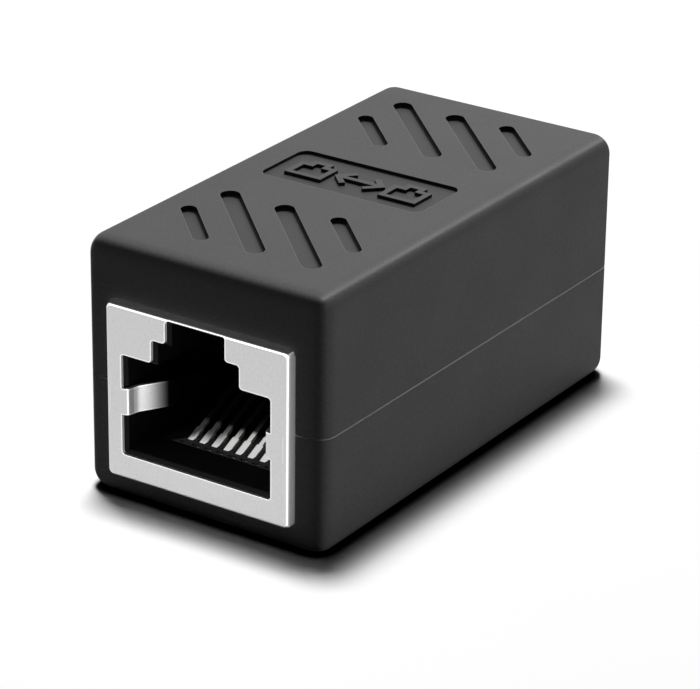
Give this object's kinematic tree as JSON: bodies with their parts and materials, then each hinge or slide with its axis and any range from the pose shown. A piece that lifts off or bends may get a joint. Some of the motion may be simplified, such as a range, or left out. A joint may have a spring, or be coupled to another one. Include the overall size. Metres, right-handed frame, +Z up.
{
  "type": "rj45 inline coupler",
  "caption": "Black moulded inline coupler that joins two shielded network plugs end to end, with slanted grip grooves and a bare label field on top.",
  "frame": {"origin": "centre of the underside, on the surface that the coupler rests on", "axes": "+Z up through the label field, -Y out of the front port, +X to the right seen from the front"},
  "size_m": [0.02, 0.0396, 0.0192],
  "materials": {
    "shell_plastic": "finely textured moulded ABS",
    "jack_plastic": "moulded glass filled PBT, black",
    "shield_plating": "satin nickel plated brass sheet",
    "contact_plating": "plated phosphor bronze wire",
    "board_laminate": "glass epoxy laminate with solder mask"
  },
  "bodies": {
    "root": {"upper_shell": "shell_plastic", "lower_shell": "shell_plastic", "circuit_board": "board_laminate", "front_shield": "shield_plating", "front_jack_body": "jack_plastic", "front_contact_carrier": "jack_plastic", "rear_shield": "shield_plating", "rear_jack_body": "jack_plastic", "rear_contact_carrier": "jack_plastic", "front_contact_1": "contact_plating", "front_contact_2": "contact_plating", "front_contact_3": "contact_plating", "front_contact_4": "contact_plating", "front_contact_5": "contact_plating", "front_contact_6": "contact_plating", "front_contact_7": "contact_plating", "front_contact_8": "contact_plating", "rear_contact_1": "contact_plating", "rear_contact_2": "contact_plating", "rear_contact_3": "contact_plating", "rear_contact_4": "contact_plating", "rear_contact_5": "contact_plating", "rear_contact_6": "contact_plating", "rear_contact_7": "contact_plating", "rear_contact_8": "contact_plating"}
  },
  "joints": []
}
